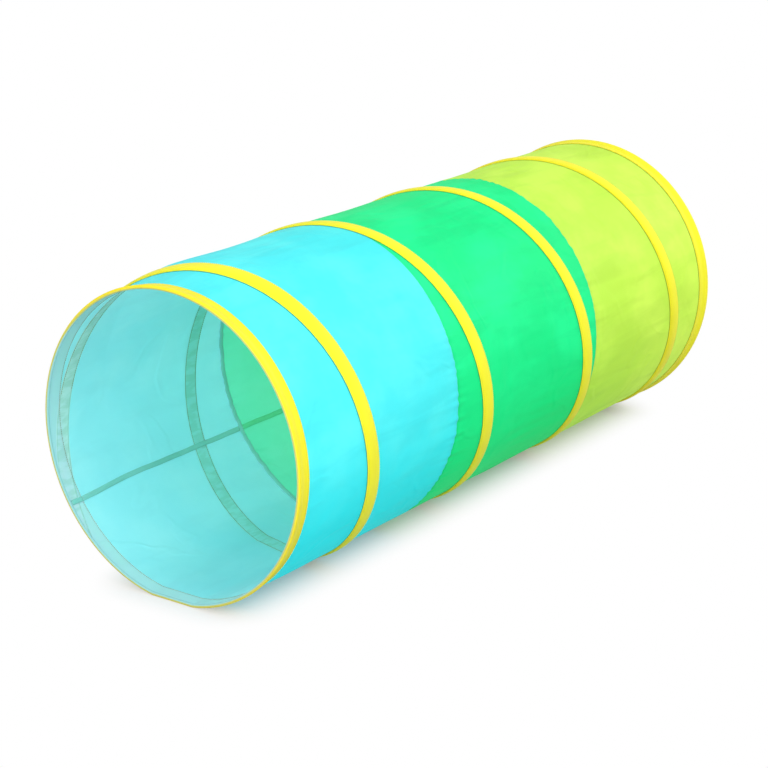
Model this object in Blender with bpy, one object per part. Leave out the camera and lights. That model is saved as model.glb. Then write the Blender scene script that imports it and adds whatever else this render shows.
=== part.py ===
"""Kids' pop-up play tunnel: three cloth panels on a spring wire coil between two taped hoops.

The tunnel lies along Y with its mouth at the -Y end and rests on Z = 0. Angles are counted
clockwise as seen from the mouth, from the top: a quarter turn is the +X side. Along the tunnel,
a place is given as its distance behind the mouth.
"""

import math

import bmesh
import bpy
import numpy as np

# The whole tunnel, in metres
TUNNEL_LENGTH = 1.150
HOOP_RADIUS = 0.2375  # to the outside of the far hoop's tape, and of the coil's
MOUTH_HOOP_RADIUS = 0.2300  # the mouth's hoop is wound a little smaller
FULL_WIDTH_FROM = 0.125  # behind the mouth, where the cloth has widened to the coil
FLOOR_FLAT_DEPTH = 0.003  # how much each round gives where it rests on the floor
CLEARANCE = 0.0003  # between pieces that touch
SOFT_CLEARANCE = 0.0006  # between the cloth and the seams that are sewn to it

# Spring wire and its crimps
WIRE_DIAMETER = 0.0020
COIL_PITCH = 0.2910
COIL_FIRST_PASS = 0.0957  # where the coil first passes over the top
ASKEW = 0.0108  # how far the coil and the cross seams lie back at the mouth's left, and forward at its right
CRIMP_WALL = 0.0003
CRIMP_LENGTH = 0.022
BUTT_GAP = 0.0006  # between the two ends of a hoop's wire, inside their crimp

# Cloth and tape
FRONT_PANEL_LENGTH = 0.385
REAR_PANEL_LENGTH = 0.369  # the middle panel is what is left
FABRIC_THICKNESS = 0.0006
TAPE_THICKNESS = 0.0006
TAPE_WIDTH = 0.0265
ARCH_FOOT = 0.0040  # half width of the tape's raised middle, at its foot
ARCH_CROWN = 0.0015  # and at its crown
LIP_WIDTH = 0.003  # how far the hoop's tape turns back inside the mouth
EDGE_ROUND = 0.0012
SAG = 0.003  # how far the cloth draws in midway between two turns
BELLY_RAMP = 0.030  # length over which the cloth comes down to the floor
SEAM_WIDTH = 0.008
SIDE_SEAM_ANGLE = math.radians(237.0)

# Counts
STEPS_ROUND = 40
PANEL_ROWS = 9
LANE_STEPS = 3  # steps that the coil's ends run beside the hoop's wire
CLOSING_ROUNDS = 30
BORE_SIDES = 12
SHARP_EDGE = math.radians(35)
GUIDE_WIDTH_SHARE = 3  # of a hoop's radius, wide enough to take in the whole tunnel

# Colours as they look, red green and blue from 0 to 1
CYAN = (0.30, 0.93, 1.00)
GREEN = (0.14, 0.96, 0.58)
LIME = (0.80, 0.98, 0.38)
YELLOW = (0.99, 0.95, 0.22)
STEEL = (0.62, 0.63, 0.65)
ZINC = (0.52, 0.53, 0.55)

# What follows from the sizes above
STEP = 2 * math.pi / STEPS_ROUND
AXIS_HEIGHT = HOOP_RADIUS - FLOOR_FLAT_DEPTH
CRIMP_OUTER = WIRE_DIAMETER + 2 * CLEARANCE + 2 * CRIMP_WALL
WIRE_LINE = HOOP_RADIUS - TAPE_THICKNESS - CLEARANCE - CRIMP_OUTER / 2
FABRIC_OUTER = WIRE_LINE - CRIMP_OUTER / 2 - CLEARANCE
FABRIC_INNER = FABRIC_OUTER - FABRIC_THICKNESS
HOOP_LANE = TAPE_THICKNESS + CLEARANCE + CRIMP_OUTER / 2
COIL_LANE = HOOP_LANE + WIRE_DIAMETER + 2 * CLEARANCE + CRIMP_WALL
ARCH_TOP = WIRE_LINE + WIRE_DIAMETER / 2 + CLEARANCE + TAPE_THICKNESS
CLOTH_EDGE = TAPE_THICKNESS + CLEARANCE
FIRST_JOIN = FRONT_PANEL_LENGTH
SECOND_JOIN = TUNNEL_LENGTH - REAR_PANEL_LENGTH
ROW_STEP = FRONT_PANEL_LENGTH / (PANEL_ROWS - 1)


def clear_scene():
    for item in list(bpy.data.objects):
        bpy.data.objects.remove(item, do_unlink=True)


def linear(colour):
    """A screen colour as the linear light that a shader takes."""
    return tuple(c / 12.92 if c <= 0.04045 else ((c + 0.055) / 1.055) ** 2.4 for c in colour)


def finish_named(name, colour, roughness, metallic=0.0):
    material = bpy.data.materials.new(name)
    material.use_nodes = True
    shader = material.node_tree.nodes["Principled BSDF"]
    shader.inputs["Base Color"].default_value = (*linear(colour), 1.0)
    shader.inputs["Roughness"].default_value = roughness
    shader.inputs["Metallic"].default_value = metallic
    material.diffuse_color = (*linear(colour), 1.0)
    return material


def narrowing(along):
    """How much smaller than the coil the rounds are near the mouth: they grow from the hoop's tape on."""
    return np.interp(along, (TAPE_WIDTH, FULL_WIDTH_FROM), (HOOP_RADIUS - MOUTH_HOOP_RADIUS, 0))


def axis_height(along):
    return AXIS_HEIGHT - narrowing(along)


def round_radius(radius, angle, along):
    """The distance from the axis of a layer of the tunnel, given by its radius where the coil is full.

    It is smaller near the mouth, and every round is flattened where it meets the floor.
    """
    own = radius - narrowing(along)
    off_floor = np.minimum(np.abs(np.asarray(angle) % (2 * math.pi) - math.pi), math.pi / 4)
    return np.minimum(own, (own - FLOOR_FLAT_DEPTH) / np.cos(off_floor))


def place(angle, radius, along):
    """The point at an angle, a distance from the axis and a distance behind the mouth."""
    angle, radius, along = np.broadcast_arrays(angle, radius, along)
    up = axis_height(along) + radius * np.cos(angle)
    return np.stack((radius * np.sin(angle), along - TUNNEL_LENGTH / 2, up), axis=-1)


def coil_along(angle):
    """How far behind the mouth the coil is at an angle that counts on through its turns."""
    return COIL_FIRST_PASS + COIL_PITCH * angle / (2 * math.pi) - ASKEW * np.sin(angle)


def coil_angle(along):
    """The angle at which the coil is that far behind the mouth, closed in on round by round."""
    angle = 0.0
    for _ in range(CLOSING_ROUNDS):
        angle = (along - COIL_FIRST_PASS + ASKEW * math.sin(angle)) / COIL_PITCH * 2 * math.pi
    return angle


def smoothed_cloth(angle, along):
    """The cloth's outer radius: level under the tapes, drawn in between turns, down on the floor below."""
    turn = np.floor((along - coil_along(angle)) / COIL_PITCH)
    before = coil_along(angle) + turn * COIL_PITCH + TAPE_WIDTH / 2
    after = before + COIL_PITCH - TAPE_WIDTH
    before = np.maximum(before, TAPE_WIDTH)
    after = np.minimum(after, TUNNEL_LENGTH - TAPE_WIDTH)
    span = np.maximum(after - before, TAPE_WIDTH)
    share = np.clip((along - before) / span, 0, 1)
    drawn_in = SAG * np.minimum(span / (COIL_PITCH - TAPE_WIDTH), 1) ** 2 * 4 * share * (1 - share)
    level = round_radius(FABRIC_OUTER, angle, along)
    from_tape = np.minimum(along - before, after - along)
    down = np.clip((from_tape - ROW_STEP) / BELLY_RAMP, 0, 1)
    floor = axis_height(along) / np.maximum(-np.cos(angle), math.cos(math.pi / 4))
    over_floor = floor <= HOOP_RADIUS - narrowing(along)
    return np.where(over_floor, level + (floor - level) * down, level - drawn_in)


def panel_rows(start, end):
    """Where a panel's rings of points lie.

    One is under each hoop tape's inner edge, and one where the cloth has its full width.
    """
    first, last = max(start, TAPE_WIDTH), min(end, TUNNEL_LENGTH - TAPE_WIDTH)
    rows = np.concatenate([[start, end, FULL_WIDTH_FROM], np.linspace(first, last, PANEL_ROWS)])
    return np.unique(rows[(rows >= start) & (rows <= end)])


PANEL_SPANS = (
    (CLOTH_EDGE, FIRST_JOIN - CLEARANCE / 2),
    (FIRST_JOIN + CLEARANCE / 2, SECOND_JOIN - CLEARANCE / 2),
    (SECOND_JOIN + CLEARANCE / 2, TUNNEL_LENGTH - CLOTH_EDGE),
)
CLOTH_ROWS = np.concatenate([panel_rows(*span) for span in PANEL_SPANS])


def leaning(rows, angle):
    """Where rows of points lie at an angle: square at the hoops, and askew between them as the coil is."""
    first, last = FIRST_JOIN - SEAM_WIDTH, SECOND_JOIN + SEAM_WIDTH
    share = np.interp(rows, (TAPE_WIDTH, first, last, TUNNEL_LENGTH - TAPE_WIDTH), (0, 1, 1, 0))
    return rows - ASKEW * math.sin(angle) * share


def cloth_radius(angle, along):
    """The cloth's outer radius as its rows of points hold it, straight from row to row."""
    rows = leaning(CLOTH_ROWS, angle)
    return np.interp(along, rows, smoothed_cloth(angle, rows))


def object_of(mesh, name, material, end):
    """A named object under one of the two empties that stand on the tunnel's axis."""
    mesh.materials.append(material)
    thing = bpy.data.objects.new(name, mesh)
    thing.parent = end
    bpy.context.scene.collection.objects.link(thing)
    return thing


def carried(name, loops, closed, material, end):
    """A closed solid: a loop of points carried from place to place, and capped unless it closes."""
    loops = np.asarray(loops, float)
    loops = loops - np.array(end.location)
    count, size = loops.shape[:2]
    number = np.arange(count * size).reshape(count, size)
    ahead = np.roll(number, -1, axis=0) if closed else number[1:]
    here = number if closed else number[:-1]
    faces = np.stack([here, np.roll(here, -1, axis=1), np.roll(ahead, -1, axis=1), ahead], axis=-1)
    faces = faces.reshape(-1, 4).tolist()
    if not closed:
        faces += [number[0][::-1].tolist(), number[-1].tolist()]
    mesh = bpy.data.meshes.new(name)
    mesh.from_pydata(loops.reshape(-1, 3).tolist(), [], faces)
    work = bmesh.new()
    work.from_mesh(mesh)
    if work.calc_volume(signed=True) < 0:
        bmesh.ops.reverse_faces(work, faces=work.faces)
    work.to_mesh(mesh)
    work.free()
    mesh.shade_smooth()
    mesh.set_sharp_from_angle(angle=SHARP_EDGE)
    return object_of(mesh, name, material, end)


def cloth_panel(name, span, material, end):
    """One length of cloth tube, a thin wall with a row of points every few centimetres."""
    rows = panel_rows(*span)
    there = np.concatenate([rows, rows[::-1]])
    loops = []
    for step in range(STEPS_ROUND):
        along = leaning(there, step * STEP)
        outer = cloth_radius(step * STEP, along[: len(rows)])
        radii = np.concatenate([outer, (outer - FABRIC_THICKNESS)[::-1]])
        loops.append(place(step * STEP, radii, along))
    return carried(name, loops, True, material, end)


def join_seam(name, join, material, end):
    """The two turned edges that stand inside where two panels are sewn together."""
    square = join + np.array([-1, 0, 1, 1, 0, -1]) * SEAM_WIDTH / 2
    plies = np.array([0, 0, 0, 2, 2, 2]) * FABRIC_THICKNESS
    loops = []
    for step in range(STEPS_ROUND):
        along = leaning(square, step * STEP)
        radii = cloth_radius(step * STEP, along) - FABRIC_THICKNESS - SOFT_CLEARANCE - plies
        loops.append(place(step * STEP, radii, along))
    return carried(name, loops, True, material, end)


def side_seam(name, start, end_along, material, end):
    """The turned edges of one panel's lengthwise seam, flat against the inside of the cloth."""
    column = math.floor(SIDE_SEAM_ANGLE / STEP)
    middle = SIDE_SEAM_ANGLE / STEP - column
    half = SEAM_WIDTH / 2 / (HOOP_RADIUS * STEP)
    inner_rows = CLOTH_ROWS[(CLOTH_ROWS > start) & (CLOTH_ROWS < end_along)]
    rows = np.concatenate([[start], inner_rows, [end_along]])
    loops = []
    for row in rows:
        corners = []
        for share, plies in ((middle - half, 0), (middle + half, 0), (middle + half, 2), (middle - half, 2)):
            inset = FABRIC_THICKNESS + SOFT_CLEARANCE + plies * FABRIC_THICKNESS
            ends = []
            for angle in (column * STEP, (column + 1) * STEP):
                along = leaning(row, angle)
                ends.append(place(angle, cloth_radius(angle, along) - inset, along))
            corners.append(ends[0] + share * (ends[1] - ends[0]))
        loops.append(corners)
    return carried(name, loops, False, material, end)


def coil_enters(step, mirrored):
    """Whether the coil's wire passes under the hoop tape's inner edge within one step of this one."""
    for near in range(step - 1, step + 2):
        for turn in range(-1, math.ceil(TUNNEL_LENGTH / COIL_PITCH) + 2):
            along = coil_along(near * STEP + turn * 2 * math.pi)
            from_end = TUNNEL_LENGTH - along if mirrored else along
            if COIL_LANE < from_end < TAPE_WIDTH:
                return True
    return False


def hoop_binding(name, mirrored, material, end):
    """The folded tape of a hoop: over the wire, round the mouth's edge and back inside the cloth.

    Its inner edge lies on the cloth, and lifts where the coil's wire comes in under it.
    """
    lip = FABRIC_INNER - CLEARANCE - TAPE_THICKNESS
    crown_end = COIL_LANE + CRIMP_OUTER / 2 + CLEARANCE
    lying, lifted = FABRIC_OUTER + CLEARANCE, HOOP_RADIUS - TAPE_THICKNESS
    loops = []
    for step in range(STEPS_ROUND):
        foot = lifted if coil_enters(step, mirrored) else lying
        section = (
            (TAPE_WIDTH, foot + TAPE_THICKNESS),
            (crown_end, HOOP_RADIUS),
            (EDGE_ROUND, HOOP_RADIUS),
            (0, HOOP_RADIUS - EDGE_ROUND),
            (0, lip + EDGE_ROUND),
            (EDGE_ROUND, lip),
            (LIP_WIDTH, lip),
            (LIP_WIDTH, lip + TAPE_THICKNESS),
            (TAPE_THICKNESS, lip + TAPE_THICKNESS),
            (TAPE_THICKNESS, HOOP_RADIUS - TAPE_THICKNESS),
            (crown_end, HOOP_RADIUS - TAPE_THICKNESS),
            (TAPE_WIDTH, foot),
        )
        along, radius = np.array(section).T
        along = TUNNEL_LENGTH - along if mirrored else along
        loops.append(place(step * STEP, round_radius(radius, step * STEP, along), along))
    return carried(name, loops, True, material, end)


def coil_casing(name, material, end):
    """The outside tape that holds the coil: two flat margins and an arch over the wire, in one run.

    It is wound over the whole tunnel and cut off square where the hoops' tapes begin.
    """
    lean = math.cos(math.atan2(COIL_PITCH, 2 * math.pi * HOOP_RADIUS))
    height = ARCH_TOP - FABRIC_OUTER
    wall = TAPE_THICKNESS
    section = (
        (-TAPE_WIDTH / 2, CLEARANCE),
        (-TAPE_WIDTH / 2, CLEARANCE + wall),
        (-ARCH_FOOT, CLEARANCE + wall),
        (-ARCH_CROWN, height),
        (ARCH_CROWN, height),
        (ARCH_FOOT, CLEARANCE + wall),
        (TAPE_WIDTH / 2, CLEARANCE + wall),
        (TAPE_WIDTH / 2, CLEARANCE),
        (ARCH_FOOT - wall, CLEARANCE),
        (ARCH_CROWN - wall / 2, height - wall),
        (wall / 2 - ARCH_CROWN, height - wall),
        (wall - ARCH_FOOT, CLEARANCE),
    )
    across, lift = np.array(section).T
    first = math.floor(coil_angle(0) / STEP)
    last = math.ceil(coil_angle(TUNNEL_LENGTH) / STEP)
    loops = []
    for step in range(first, last + 1):
        along = coil_along(step * STEP) + across / lean
        radius = round_radius(FABRIC_OUTER + lift, step * STEP, along)
        loops.append(place(step * STEP, radius, along))
    casing = carried(name, loops, False, material, end)
    margin = TAPE_WIDTH + CLEARANCE
    room = box("casing_length", TUNNEL_LENGTH - 2 * margin, end)
    trim = casing.modifiers.new("between the hoop tapes", "BOOLEAN")
    trim.operation = "INTERSECT"
    trim.use_self = True  # where the mouth flares, the thin wall can touch itself
    trim.object = room
    return casing


def box(name, length, end):
    """A guide as long as is given, centred on the tunnel and wider than it."""
    work = bmesh.new()
    bmesh.ops.create_cube(work, size=1)
    width = GUIDE_WIDTH_SHARE * HOOP_RADIUS
    bmesh.ops.scale(work, vec=(width, length, width), verts=work.verts)
    bmesh.ops.translate(work, vec=(0, -end.location[1], 0), verts=work.verts)
    return guide(name, work, end)


def guide(name, work, end):
    mesh = bpy.data.meshes.new(name)
    work.to_mesh(mesh)
    work.free()
    cutter = bpy.data.objects.new(name, mesh)
    cutter.parent = end
    cutter.hide_render = True
    cutter.display_type = "WIRE"
    bpy.context.scene.collection.objects.link(cutter)
    return cutter


def wire(name, points, material, end):
    """A round wire with closed ends through the points given."""
    curve = bpy.data.curves.new(name, "CURVE")
    curve.dimensions = "3D"
    curve.bevel_depth = WIRE_DIAMETER / 2
    curve.bevel_resolution = 1
    curve.use_fill_caps = True
    spline = curve.splines.new("POLY")
    spline.points.add(len(points) - 1)
    local = np.asarray(points) - np.array(end.location)
    spline.points.foreach_set("co", np.column_stack([local, np.ones(len(local))]).ravel())
    return object_of(curve, name, material, end)


def wire_point(angle, along):
    return place(angle, round_radius(WIRE_LINE, angle, along), along)


def hoop_wire(name, along, crimp_step, material, end):
    """A hoop of wire whose two ends meet halfway along one step, where its crimp goes."""
    before, after = (wire_point((crimp_step + shift) * STEP, along) for shift in (0, 1))
    middle, way = (before + after) / 2, (after - before) / np.linalg.norm(after - before)
    steps = range(crimp_step + 1, crimp_step + STEPS_ROUND + 1)
    round_points = [wire_point(step * STEP, along) for step in steps]
    ends = [middle + way * BUTT_GAP / 2, middle - way * BUTT_GAP / 2]
    return wire(name, [ends[0], *round_points, ends[1]], material, end)


def lane_steps():
    """The steps at which the coil leaves the front hoop's wire and reaches the rear one's."""
    leaves = math.floor(coil_angle(COIL_LANE) / STEP)
    arrives = math.ceil(coil_angle(TUNNEL_LENGTH - COIL_LANE) / STEP)
    return leaves, arrives


def coil_wire(name, material, end):
    """The spring: one unbroken wire that runs beside each hoop's wire at its two ends."""
    leaves, arrives = lane_steps()
    steps = np.arange(leaves - LANE_STEPS, arrives + LANE_STEPS + 1)
    along = np.clip(coil_along(steps * STEP), COIL_LANE, TUNNEL_LENGTH - COIL_LANE)
    points = np.array([wire_point(angle, there) for angle, there in zip(steps * STEP, along)])
    print(f"{name}: least gap to itself {1000 * least_gap(points):.1f} mm")
    return wire(name, points, material, end)


def least_gap(points):
    """The clear distance between the wire's turns, from points that are over half a turn apart."""
    apart = np.linalg.norm(points[:, None] - points[None], axis=-1)
    number = np.arange(len(points))
    far = np.abs(number[:, None] - number[None]) > STEPS_ROUND / 2
    return apart[far].min() - WIRE_DIAMETER


def crimp_frame(step, along):
    """Middle, direction along the wire and outward direction of a crimp halfway along a step."""
    before, after = (wire_point((step + shift) * STEP, along) for shift in (0, 1))
    way = (after - before) / np.linalg.norm(after - before)
    outward = np.cross(way, (0, 1, 0))
    middle = (before + after) / 2
    outward = outward * np.sign(outward @ (middle - place(0, 0, along)))
    return middle, way, outward


def hoop_crimp(name, along, step, material, end):
    """A round sleeve pressed over the two ends of a hoop's wire."""
    middle, way, outward = crimp_frame(step, along)
    bore = WIRE_DIAMETER / 2 + CLEARANCE
    section = (
        (-CRIMP_LENGTH / 2, CRIMP_OUTER / 2),
        (CRIMP_LENGTH / 2, CRIMP_OUTER / 2),
        (CRIMP_LENGTH / 2, bore),
        (-CRIMP_LENGTH / 2, bore),
    )
    loops = []
    for side in range(BORE_SIDES):
        turn = 2 * math.pi * side / BORE_SIDES
        across = math.cos(turn) * outward + math.sin(turn) * np.array((0, 1, 0))
        loops.append([middle + there * way + radius * across for there, radius in section])
    return carried(name, loops, True, material, end)


def splice_crimp(name, hoop_along, coil_lane_along, step, material, end):
    """An oval sleeve with two bores that holds the coil's end beside the hoop's wire."""
    middle, way, outward = crimp_frame(step, hoop_along)
    shift = np.array((0, coil_lane_along - hoop_along, 0))
    toward = np.sign(shift[1])
    outline = []
    for side in range(BORE_SIDES + 1):
        turn = math.pi * side / BORE_SIDES
        outline.append((-math.sin(turn) * toward, math.cos(turn), 0))
    for side in range(BORE_SIDES + 1):
        turn = math.pi * (1 + side / BORE_SIDES)
        outline.append((-math.sin(turn) * toward, math.cos(turn), 1))
    loops = []
    for there in (-CRIMP_LENGTH / 2, CRIMP_LENGTH / 2):
        ring = []
        for sideways, up, far in outline:
            rim = (up * outward + sideways * np.array((0, 1, 0))) * CRIMP_OUTER / 2
            ring.append(middle + there * way + far * shift + rim)
        loops.append(ring)
    crimp = carried(name, loops, False, material, end)
    for number, far in enumerate((0, 1)):
        work = bmesh.new()
        rings = []
        for there in (-CRIMP_LENGTH, CRIMP_LENGTH):
            ring = []
            for side in range(BORE_SIDES):
                turn = 2 * math.pi * side / BORE_SIDES
                rim = math.cos(turn) * outward + math.sin(turn) * np.array((0, 1, 0))
                spot = middle + there * way + far * shift + rim * (WIRE_DIAMETER / 2 + CLEARANCE)
                ring.append(work.verts.new(spot - np.array(end.location)))
            rings.append(ring)
        for side in range(BORE_SIDES):
            after = (side + 1) % BORE_SIDES
            work.faces.new((rings[0][side], rings[0][after], rings[1][after], rings[1][side]))
        work.faces.new(rings[0])
        work.faces.new(rings[1])
        bmesh.ops.recalc_face_normals(work, faces=work.faces)
        bore = crimp.modifiers.new(f"bore {number + 1}", "BOOLEAN")
        bore.operation = "DIFFERENCE"
        bore.object = guide(f"{name}_bore_{number + 1}", work, end)
    return crimp


def end_empty(name, along):
    """A point on the tunnel's axis that the pieces of one end hang from."""
    empty = bpy.data.objects.new(name, None)
    empty.location = place(0, 0, along).tolist()
    bpy.context.scene.collection.objects.link(empty)
    return empty


def build():
    clear_scene()
    cyan = finish_named("cyan_fabric", CYAN, 0.55)
    green = finish_named("green_fabric", GREEN, 0.55)
    lime = finish_named("lime_fabric", LIME, 0.55)
    tape = finish_named("yellow_tape", YELLOW, 0.6)
    steel = finish_named("spring_steel", STEEL, 0.3, 1.0)
    zinc = finish_named("zinc_crimp", ZINC, 0.4, 1.0)
    front = end_empty("front_end", 0)
    rear = end_empty("rear_end", TUNNEL_LENGTH)
    bpy.context.view_layer.update()

    cloth_panel("front_panel", PANEL_SPANS[0], cyan, front)
    cloth_panel("middle_panel", PANEL_SPANS[1], green, front)
    cloth_panel("rear_panel", PANEL_SPANS[2], lime, rear)
    join_seam("front_join_seam", FIRST_JOIN, cyan, front)
    join_seam("rear_join_seam", SECOND_JOIN, green, rear)
    seam_end = SEAM_WIDTH / 2 + CLEARANCE
    hem_end = LIP_WIDTH + CLEARANCE
    side_seam("front_side_seam", hem_end, FIRST_JOIN - seam_end, cyan, front)
    side_seam("middle_side_seam", FIRST_JOIN + seam_end, SECOND_JOIN - seam_end, green, front)
    side_seam("rear_side_seam", SECOND_JOIN + seam_end, TUNNEL_LENGTH - hem_end, lime, rear)

    hoop_binding("front_hoop_binding", False, tape, front)
    hoop_binding("rear_hoop_binding", True, tape, rear)
    coil_casing("coil_casing", tape, front)
    coil_wire("coil_wire", steel, front)

    leaves, arrives = lane_steps()
    front_lane, rear_lane = HOOP_LANE, TUNNEL_LENGTH - HOOP_LANE
    quarter = STEPS_ROUND // 4
    hoop_wire("front_hoop_wire", front_lane, quarter, steel, front)
    hoop_wire("rear_hoop_wire", rear_lane, quarter, steel, rear)
    hoop_crimp("front_hoop_crimp", front_lane, quarter, zinc, front)
    hoop_crimp("rear_hoop_crimp", rear_lane, quarter, zinc, rear)
    splice = LANE_STEPS // 2 + 1
    splice_crimp("front_splice_crimp", front_lane, COIL_LANE, leaves - splice, zinc, front)
    rear_coil_lane = TUNNEL_LENGTH - COIL_LANE
    splice_crimp("rear_splice_crimp", rear_lane, rear_coil_lane, arrives + splice - 1, zinc, rear)


build()
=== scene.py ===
"""Kids' pop-up play tunnel: taut nylon cloth in three colours on a taped spring coil and two taped hoops.

Angles are counted clockwise from the top as seen from the mouth, and a place along the tunnel is its
distance behind the mouth, as in the CAD model whose bodies the pieces here ride on.
"""

import math

import bpy
import numpy as np
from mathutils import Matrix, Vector


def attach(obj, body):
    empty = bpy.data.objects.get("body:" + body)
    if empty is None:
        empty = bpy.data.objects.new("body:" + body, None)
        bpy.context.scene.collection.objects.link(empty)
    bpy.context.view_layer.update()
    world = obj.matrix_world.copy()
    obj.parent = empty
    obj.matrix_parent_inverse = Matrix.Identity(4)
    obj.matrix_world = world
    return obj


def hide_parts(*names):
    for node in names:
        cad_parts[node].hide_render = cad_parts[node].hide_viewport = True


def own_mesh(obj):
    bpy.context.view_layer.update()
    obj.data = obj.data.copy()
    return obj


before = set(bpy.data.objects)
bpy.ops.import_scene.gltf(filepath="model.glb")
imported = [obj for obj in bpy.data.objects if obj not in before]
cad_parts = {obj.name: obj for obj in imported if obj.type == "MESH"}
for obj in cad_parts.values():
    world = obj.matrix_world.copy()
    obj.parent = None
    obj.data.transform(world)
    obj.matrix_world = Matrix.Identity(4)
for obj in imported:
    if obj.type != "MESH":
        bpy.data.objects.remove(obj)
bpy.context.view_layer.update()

# The frame's sizes, in metres, as its solids have them
TUNNEL_LENGTH = 1.150
HOOP_RADIUS = 0.2375
MOUTH_HOOP_RADIUS = 0.2300
FULL_WIDTH_FROM = 0.125
FLOOR_FLAT_DEPTH = 0.003
CLEARANCE = 0.0003
WIRE_DIAMETER = 0.0020
COIL_PITCH = 0.2910
COIL_FIRST_PASS = 0.0957
ASKEW = 0.0108  # how far the coil and the cross seams lie back at the mouth's left, and forward at its right
FRONT_PANEL_LENGTH = 0.385
REAR_PANEL_LENGTH = 0.369
TAPE_WIDTH = 0.0265
TAPE_WALL = 0.0006
LIP_WIDTH = 0.003
SEAM_WIDTH = 0.008
SEAM_INSET = 0.0045  # how far a lengthwise seam stops before a cross seam
SEAM_END = 0.004  # how far it stops before the ends of the tunnel
SEAM_ANGLE = math.radians(237.0)
WIRE_LINE = 0.2350  # radius of the coil wire's middle line
CLOTH_OUTER = 0.2331
CLOTH_WALL = 0.0005
ARCH_TOP = 0.2369  # radius of the top of the coil's tape
COIL_LANE = 0.0054  # how far from the tunnel's ends the coil's wire runs beside a hoop's

AXIS_HEIGHT = HOOP_RADIUS - FLOOR_FLAT_DEPTH
FIRST_JOIN = FRONT_PANEL_LENGTH
SECOND_JOIN = TUNNEL_LENGTH - REAR_PANEL_LENGTH
LYING = CLOTH_OUTER + CLEARANCE + TAPE_WALL  # radius of the top of a tape that lies on the cloth
LEAN = math.cos(math.atan2(COIL_PITCH, 2 * math.pi * HOOP_RADIUS))
HALF_ALONG = TAPE_WIDTH / 2 / LEAN

# The cloth's own shape
CLOTH_EDGE = 0.0018
FIRST_EDGE = TAPE_WIDTH - 0.0006  # the cloth that folds begins just under the edge of a hoop's tape
HEM_END = FIRST_EDGE - 0.0002  # and the hem ends just before it
SAG = 0.0016  # how far the cloth draws in midway between two turns
HANG = 0.0065  # how far it hangs down on the underside, until it meets the floor
SLACK, FINE_SLACK = 0.00056, 0.00020  # heights of the slack waves
PUCKER, PUCKER_REACH = 0.00062, 0.020  # height of the short waves at a join, and how far off they die out
JOIN_DIP, JOIN_DIP_REACH = 0.0005, 0.0022  # the cloth draws in at a join's stitching
JOIN_GAP = 0.0001  # from a join to each panel's end
SHARP = 0.00001  # the rounding where a layer meets the floor in a crease
COLUMNS = 720
ROWS = 38
HEM_ROWS = 7

# Tapes and turned seam edges
TAPE_GAP = 0.00005  # between the coil's tape and a hoop's
TAPE_RIPPLE, HOOP_TAPE_RIPPLE = 0.00012, 0.00015
RIDGE_WIDTH = 0.0032  # of a hoop's tape over the coil's wire, to either side
JOIN_WAVE, SIDE_WAVE = 0.0004, 0.0015

# Sewing
STITCH_LENGTH = 0.0026
STITCH_STEP = 0.0034
STITCH_RISE = 0.00042
THREAD_RADIUS = 0.00028
STITCH_FOOT = 0.0001  # how far a stitch's ends are off the line that it is set on
ROW_INSET = 0.0016


# ---------------------------------------------------------------- shapes


def narrowing(along):
    """How much smaller than the coil the rounds are near the mouth: they grow from the hoop's tape on."""
    return np.interp(along, (TAPE_WIDTH, FULL_WIDTH_FROM), (HOOP_RADIUS - MOUTH_HOOP_RADIUS, 0))


def axis_height(along):
    """How high the middle of a round is above the floor."""
    return AXIS_HEIGHT - narrowing(along)


def softer_least(first, second, width):
    """The lesser of two values, rounded off where they are less than a width apart."""
    close = np.maximum(width - np.abs(first - second), 0)
    return np.minimum(first, second) - close**2 / (4 * width)


def round_radius(radius, angle, along, soft=SHARP):
    """The distance from the axis of a layer of the tunnel, given by its radius where the coil is full.

    It is smaller near the mouth, and every round is flattened where it meets the floor.
    """
    own = radius - narrowing(along)
    off_floor = np.minimum(np.abs(np.asarray(angle) % (2 * math.pi) - math.pi), math.pi / 4)
    return softer_least(own, (own - FLOOR_FLAT_DEPTH) / np.cos(off_floor), soft)


def place(angle, radius, along):
    """The point at an angle, a distance from the axis and a distance behind the mouth."""
    angle, radius, along = np.broadcast_arrays(angle, radius, along)
    up = axis_height(along) + radius * np.cos(angle)
    return np.stack((radius * np.sin(angle), along - TUNNEL_LENGTH / 2, up), axis=-1)


def coil_along(angle):
    """How far behind the mouth the coil is at an angle that counts on through its turns."""
    return COIL_FIRST_PASS + COIL_PITCH * angle / (2 * math.pi) - ASKEW * np.sin(angle)


def coil_angle(along):
    """The angle at which the coil is that far behind the mouth, found by closing in on it."""
    angle = 0.0
    for _ in range(30):
        angle = (along - COIL_FIRST_PASS + ASKEW * math.sin(angle)) / COIL_PITCH * 2 * math.pi
    return angle


def leaning(along, angle):
    """Where a ring of the cloth lies at an angle: square at the hoops, askew between them like the coil."""
    first, last = FIRST_JOIN - SEAM_WIDTH, SECOND_JOIN + SEAM_WIDTH
    share = np.interp(along, (TAPE_WIDTH, first, last, TUNNEL_LENGTH - TAPE_WIDTH), (0, 1, 1, 0))
    return along - ASKEW * np.sin(angle) * share


def waves(angle, along, seed, counts, lengths, number):
    """A sum of slanting sine waves, whole ones round the tunnel so that they meet, of unit size."""
    dice = np.random.default_rng(seed)
    total = np.zeros(np.broadcast(angle, along).shape)
    for _ in range(number):
        around = dice.integers(*counts)
        forward = dice.uniform(*lengths) * dice.choice((-1, 1))
        start = dice.uniform(0, 2 * math.pi)
        total = total + np.sin(around * angle + 2 * math.pi * along / forward + start)
    return total / math.sqrt(number)


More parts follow.
